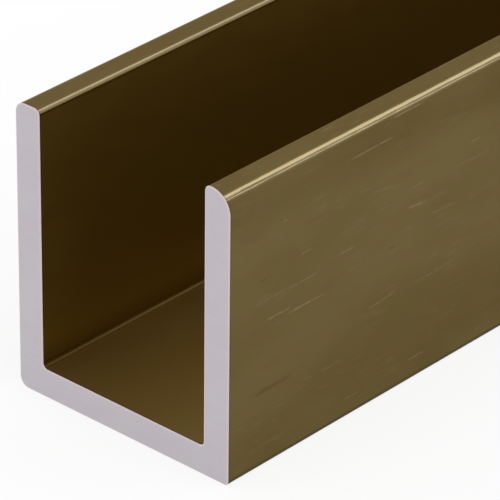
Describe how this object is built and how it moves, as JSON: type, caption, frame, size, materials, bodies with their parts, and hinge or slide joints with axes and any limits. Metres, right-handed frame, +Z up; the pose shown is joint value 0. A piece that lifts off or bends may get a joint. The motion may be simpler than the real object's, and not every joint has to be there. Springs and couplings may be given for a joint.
{
  "type": "u-channel",
  "caption": "Straight length of aluminium U-channel with square cut ends, rounded leg tips and a brushed bronze finish, for holding the edge of a panel.",
  "frame": {"origin": "on the underside of the web, halfway along and halfway across", "axes": "+X along the channel, +Y across it from the front leg to the back leg, +Z up out of the open side"},
  "size_m": [0.6, 0.014, 0.016],
  "materials": {
    "brushed_bronze": "brushed along the length and bronze anodised, bare metal on the cut ends"
  },
  "bodies": {
    "root": {"u_channel": "brushed_bronze"}
  },
  "joints": []
}
